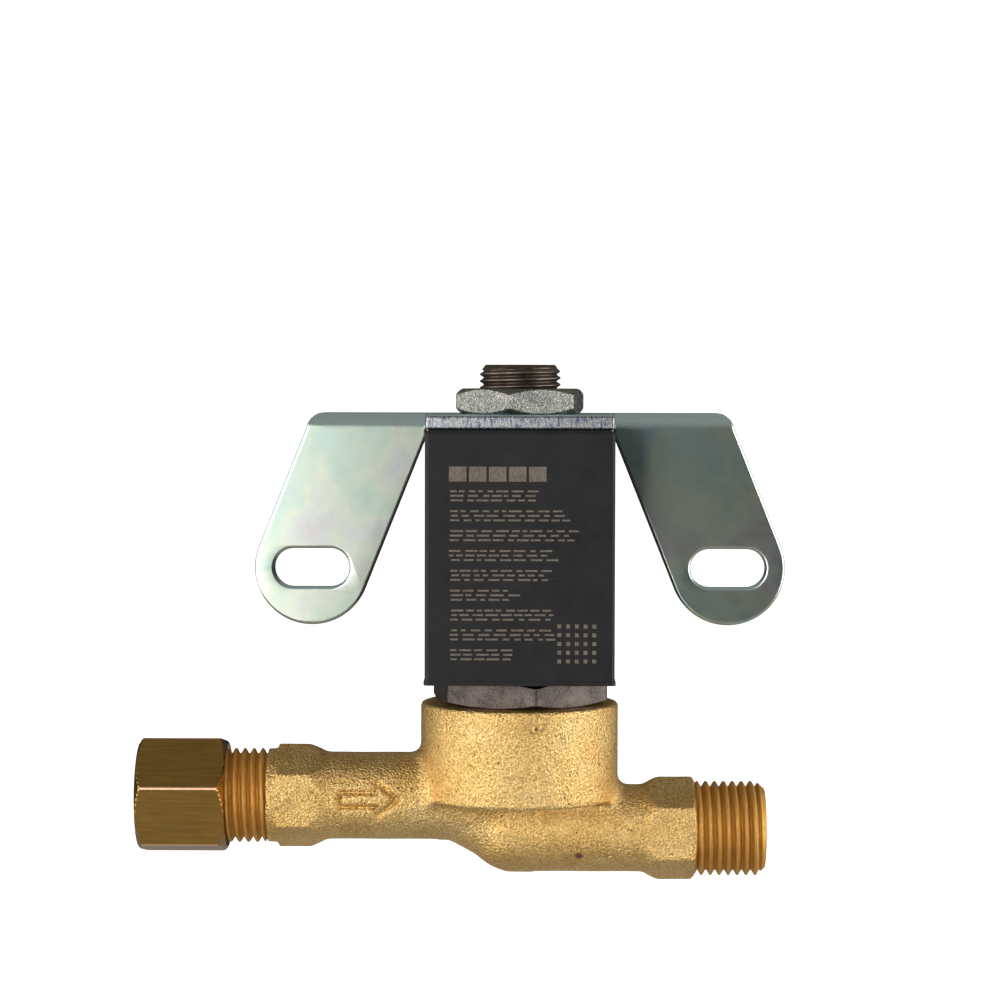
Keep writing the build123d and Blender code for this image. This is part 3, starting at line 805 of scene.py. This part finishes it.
def sheared_edge():
    """Cut edge of the sheet: upright striations with blue and violet oxide tints, and painted glints.
    """
    paint = Paint("sheared_edge", (0.4, 0.4, 0.4), 1.0, 0.38)
    lines = paint.noise(1.6, 3.0, 0.7, paint.stretched((2.2, 0.3, 0.6)))
    frost = paint.noise(6.0, 3.0, 0.7)
    tone = paint.ramp(lines, [(0.36, (0.12, 0.13, 0.24)), (0.45, (0.36, 0.39, 0.42)),
                              (0.55, (0.56, 0.58, 0.53)), (0.66, (0.28, 0.32, 0.50))])
    # painted glints: the frost's bright spots lift the edge's colour well past its own tone
    painted_glints_and_tone = paint.ramp(frost, [(0.36, 0.35), (0.50, 0.9), (0.64, 1.6)])
    paint.color(paint.mix(1.0, tone, painted_glints_and_tone, "MULTIPLY"))
    paint.rough(paint.ramp(frost, [(0.3, 0.45), (0.7, 0.26)]))
    paint.bump(frost, 0.035)
    return paint.material


def coil_plastic():
    """Moulded thermoset: near black, satin, with fine rubs and a mottled skin."""
    paint = Paint("coil_plastic", (0.020, 0.020, 0.021), 0.0, 0.5, 0.25)
    cloud = paint.noise(0.35, 4.0, 0.6)
    tone = paint.ramp(cloud, [(0.3, (0.013, 0.013, 0.014)), (0.7, (0.022, 0.022, 0.023))])
    scratch = paint.noise(1.6, 3.0, 0.7, paint.stretched((0.25, 1.0, 3.2)), distortion=0.4)
    rub = paint.band(scratch, 0.66, 0.74)
    paint.color(paint.mix(paint.math("MULTIPLY", rub, 0.30), tone, (0.08, 0.08, 0.085)))
    paint.rough(paint.ramp(cloud, [(0.3, 0.46), (0.7, 0.60)]))
    paint.bump(paint.noise(5.0, 3.0, 0.6), 0.012)
    paint.bump(paint.noise(0.8, 3.0, 0.5), 0.02)
    return paint.material


def laser_mark():
    """Dull grey-brown of burnt plastic."""
    paint = Paint("laser_mark", (0.22, 0.185, 0.155), 0.0, 0.8, 0.2)
    burn = paint.noise(3.5, 3.0, 0.7)
    paint.color(paint.ramp(burn, [(0.3, (0.13, 0.108, 0.088)), (0.7, (0.26, 0.22, 0.18))]))
    return paint.material


def rubber():
    """Black seal rubber."""
    paint = Paint("seal_rubber", (0.02, 0.02, 0.02), 0.0, 0.6, 0.35)
    cloud = paint.noise(1.5, 3.0)
    paint.color(paint.ramp(cloud, [(0.3, (0.012, 0.012, 0.012)), (0.7, (0.03, 0.03, 0.03))]))
    paint.bump(cloud, 0.01)
    return paint.material


def moulded(name, color, rough):
    """Plain plastic with a faint cloud."""
    paint = Paint(name, color, 0.0, rough)
    cloud = paint.noise(1.0, 3.0)
    darker = tuple(channel * 0.8 for channel in color)
    paint.color(paint.ramp(cloud, [(0.3, darker), (0.7, color)]))
    paint.bump(paint.noise(4.0, 2.0), 0.01)
    return paint.material


def wound_copper():
    """Winding: the turns show as fine rings up the stem."""
    paint = Paint("wound_copper", (0.62, 0.27, 0.13), 0.8, 0.3)
    rings = paint.math("SINE", paint.math("MULTIPLY", paint.split()[2], TAU / 0.22))
    paint.color(paint.ramp(paint.math("MULTIPLY_ADD", rings, 0.5),
                           [(0.0, (0.34, 0.12, 0.05)), (1.0, (0.72, 0.34, 0.17))]))
    paint.bump(rings, 0.04)
    return paint.material


def dress(piece, material):
    piece.data.materials.clear()
    piece.data.materials.append(material)


# ---------------------------------------------------------------- the pieces
brass = blasted_brass()
inlet_thread_brass = threaded_brass(INLET_Z)
outlet_thread_brass = threaded_brass(OUTLET_Z)
stud_finish = stud_steel()

forging = build_body()
inlet_thread = build_port("inlet_thread", INLET_THREAD_START, INLET_END_X, INLET_Z, 0.0)
outlet_thread = build_port("outlet_thread", OUTLET_THREAD_START, OUTLET_END_X, OUTLET_Z, 0.35)
for piece, finish in ((forging, brass), (inlet_thread, inlet_thread_brass),
                      (outlet_thread, outlet_thread_brass)):
    dress(piece, finish)
    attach(piece, "valve")
    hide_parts("valve_body")

nut_wall = port_nut_low[0] + PORT_NUT_WALL
port_nut = hex_nut(
    "port_nut", "x", (0, STEM_Y, INLET_Z), port_nut_low[0], port_nut_high[0],
    PORT_NUT_FLAT, math.radians(PORT_NUT_TURN),
    [(port_nut_high[0], 6.05), (port_nut_high[0] - 0.4, THREAD_R + 0.05),
     (nut_wall + 1.4, THREAD_R + 0.05), (nut_wall + 1.0, 4.25), (nut_wall, 3.2),
     (port_nut_low[0] + 0.2, 3.2), (port_nut_low[0], 3.4)], 0.75)
dress(port_nut, drawn_brass())
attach(port_nut, "port_nut")
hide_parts("compression_nut")

flange = hex_nut(
    "flange_hex", "z", (0, STEM_Y, 0), BOSS_TOP, COIL_BOTTOM,
    BASE_HEX_FLAT, math.radians(BASE_HEX_TURN),
    [(COIL_BOTTOM, 4.9), (BOSS_TOP - 5.1, 4.9), (BOSS_TOP - 5.1, 8.0), (BOSS_TOP, 8.0)], 0.6)
dress(flange, plain_metal("flange_steel", (0.035, 0.028, 0.024), (0.17, 0.142, 0.128),
                          (0.36, 0.55), 4.0, 0.07))
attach(flange, "valve")
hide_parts("tube_base_hex")

stem_nut = hex_nut(
    "stem_nut", "z", (0, STEM_Y, 0), PLATE_TOP, NUT_TOP,
    STEM_NUT_FLAT, math.radians(STEM_NUT_TURN),
    [(NUT_TOP, 5.25), (NUT_TOP - 0.4, 4.82), (PLATE_TOP + 0.4, 4.82), (PLATE_TOP, 5.25)], 0.75)
dress(stem_nut, zinc_nut())
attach(stem_nut, "coil_nut")
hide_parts("coil_nut")


def build_stud():
    """Fixed core and its threaded stud."""
    around = 128
    core_face, shoulder, base = 3.45, 12.8, STUD_TOP - 10.2
    core_r, neck_r = 4.3, 4.9
    rows = [(core_face, np.full(around, core_r)), (shoulder, np.full(around, core_r)),
            (shoulder, np.full(around, neck_r)), (base, np.full(around, neck_r))]
    rows += thread_rows(base, STUD_TOP, STUD_R, STUD_PITCH, STUD_DEPTH, around, 0.8, 0.4, 0.2)
    rows += [(STUD_TOP, np.full(around, 2.0)), (STUD_TOP - 0.6, np.full(around, 1.1))]
    return ring_mesh("core_stud", rows, "z", (0, STEM_Y, 0), False, 50)


stud = build_stud()
dress(stud, stud_finish)
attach(stud, "valve")
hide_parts("fixed_core")

bracket = build_bracket()
dress(bracket, passivated_zinc())
bracket.data.materials.append(sheared_edge())
for face in bracket.data.polygons:
    centre = face.center / MM
    if abs(face.normal.y) > 0.6 and centre.y < STEM_Y - 9 and centre.z > COIL_TOP:
        face.material_index = 1
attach(bracket, "bracket")
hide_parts("mounting_bracket")

marking = build_marking()
dress(marking, laser_mark())
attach(marking, "bracket")

carried = {
    "coil_housing": coil_plastic(),
    "coil_bobbin": moulded("bobbin_plastic", (0.74, 0.70, 0.60), 0.45),
    "copper_winding": wound_copper(),
    "winding_tape": moulded("tape_film", (0.72, 0.55, 0.16), 0.25),
    "winding_leads": plain_metal("lead_copper", (0.50, 0.20, 0.09), (0.74, 0.36, 0.19),
                                 (0.25, 0.35)),
    "coil_yoke": plain_metal("yoke_steel", (0.26, 0.26, 0.27), (0.46, 0.46, 0.47), (0.35, 0.5)),
    "guide_tube": plain_metal("stainless", (0.50, 0.49, 0.47), (0.66, 0.65, 0.63), (0.2, 0.3)),
    "shading_ring": plain_metal("ring_copper", (0.55, 0.24, 0.11), (0.78, 0.40, 0.22), (0.25, 0.4)),
    "plunger": plain_metal("plunger_steel", (0.42, 0.41, 0.39), (0.62, 0.61, 0.58), (0.2, 0.34)),
    "plunger_spring": plain_metal("spring_wire", (0.40, 0.39, 0.37), (0.66, 0.65, 0.62),
                                  (0.25, 0.35)),
    "compression_sleeve": plain_metal("sleeve_brass", (0.60, 0.40, 0.15), (0.84, 0.62, 0.29),
                                      (0.22, 0.34)),
    "plunger_seal": rubber(),
    "body_o_ring": rubber(),
}
tinned = plain_metal("tinned_brass", (0.52, 0.50, 0.46), (0.78, 0.76, 0.71), (0.28, 0.42))
for node in ("terminal_left", "terminal_right", "earth_terminal"):
    carried[node] = tinned
for node, material in carried.items():
    dress(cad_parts[node], material)


# ---------------------------------------------------------------- floor, light and camera
def stage_floor():
    """Pale floor that curves up into a backdrop far behind the object."""
    level = cad_box[0].z / MM
    reach, turn, rise = 1400.0, 500.0, 1600.0
    profile = [(-1400.0, level), (reach, level)]
    profile += [(reach + turn * math.sin(a), level + turn * (1 - math.cos(a)))
                for a in (math.radians(9 * i) for i in range(1, 11))]
    profile += [(reach + turn, level + rise)]
    half_width = 2400.0
    points, faces = [], []
    for y, z in profile:
        points += [(-half_width, y, z), (half_width, y, z)]
    for i in range(len(profile) - 1):
        faces.append((2 * i, 2 * i + 1, 2 * i + 3, 2 * i + 2))
    floor = make_mesh("floor", points, faces)
    paint = Paint("pale_floor", (0.86, 0.86, 0.86), 0.0, 0.9, 0.1)
    paint.shader.inputs["Emission Color"].default_value = (1, 1, 1, 1)
    paint.shader.inputs["Emission Strength"].default_value = 1.0
    dress(floor, paint.material)
    floor.visible_glossy = False
    floor.visible_diffuse = False


def soft_light(name, place, aim, size, power, color=(1, 1, 1)):
    """Rectangular lamp at a place, mm, turned towards another; size in metres, power in watts."""
    lamp = bpy.data.lights.new(name, "AREA")
    lamp.shape = "RECTANGLE"
    lamp.size, lamp.size_y = size
    lamp.energy = power
    lamp.color = color
    holder = bpy.data.objects.new(name, lamp)
    holder.location = Vector(place) * MM
    holder.rotation_euler = (Vector(aim) - Vector(place)).to_track_quat("-Z", "Y").to_euler()
    bpy.context.scene.collection.objects.link(holder)


stage_floor()
aim = (-6, STEM_Y, -6)
soft_light("front_left", (-235, -405, 5), aim, (0.34, 0.34), 1.7, (1.0, 0.99, 0.98))
soft_light("front_right", (400, -205, 5), aim, (0.20, 0.34), 1.05, (1.0, 0.99, 0.98))
soft_light("left", (-420, -60, 0), aim, (0.26, 0.40), 1.0)
soft_light("right", (430, 20, 10), aim, (0.24, 0.40), 0.8)


def studio_world():
    """Surroundings that the metal mirrors: pale below, dark at eye level, grey above."""
    world = bpy.data.worlds.new("studio")
    world.use_nodes = True
    tree = world.node_tree
    direction = tree.nodes.new("ShaderNodeTexCoord")
    height = tree.nodes.new("ShaderNodeSeparateXYZ")
    share = tree.nodes.new("ShaderNodeMapRange")
    glow = tree.nodes.new("ShaderNodeValToRGB")
    share.inputs["From Min"].default_value = -1.0
    stops = [(0.25, (0.43, 0.42, 0.405)), (0.47, (0.030, 0.036, 0.036)),
             (0.56, (0.030, 0.036, 0.036)), (0.78, (0.25, 0.238, 0.22))]
    elements = glow.color_ramp.elements
    elements.new(0.47)
    elements.new(0.56)
    for element, (position, shade) in zip(elements, stops):
        element.position = position
        element.color = (*shade, 1)
    tree.links.new(direction.outputs["Generated"], height.inputs[0])
    tree.links.new(height.outputs[2], share.inputs["Value"])
    tree.links.new(share.outputs["Result"], glow.inputs[0])
    tree.links.new(glow.outputs["Color"], tree.nodes["Background"].inputs[0])
    tree.nodes["Background"].inputs[1].default_value = 1.0
    bpy.context.scene.world = world


studio_world()
bpy.context.scene.view_settings.view_transform = "Standard"


def add_camera():
    """Eye level with the stud's top, 350 mm in front of the stem, aimed a little down and left."""
    distance, eye_z = 350.0, 23.3
    pitch, yaw, roll = math.radians(2.43250), math.radians(0.38634), math.radians(0.12)
    data = bpy.data.cameras.new("camera")
    data.sensor_width = 36.0
    data.lens = 106.776
    data.clip_start = 0.01
    data.clip_end = 20.0
    camera = bpy.data.objects.new("camera", data)
    camera.location = Vector((0, STEM_Y - distance, eye_z)) * MM
    turn = Euler((math.pi / 2 - pitch, 0, yaw), "XYZ").to_matrix()
    turn = turn @ Euler((0, 0, roll), "XYZ").to_matrix()
    camera.rotation_euler = turn.to_euler()
    bpy.context.scene.collection.objects.link(camera)
    bpy.context.scene.camera = camera


add_camera()
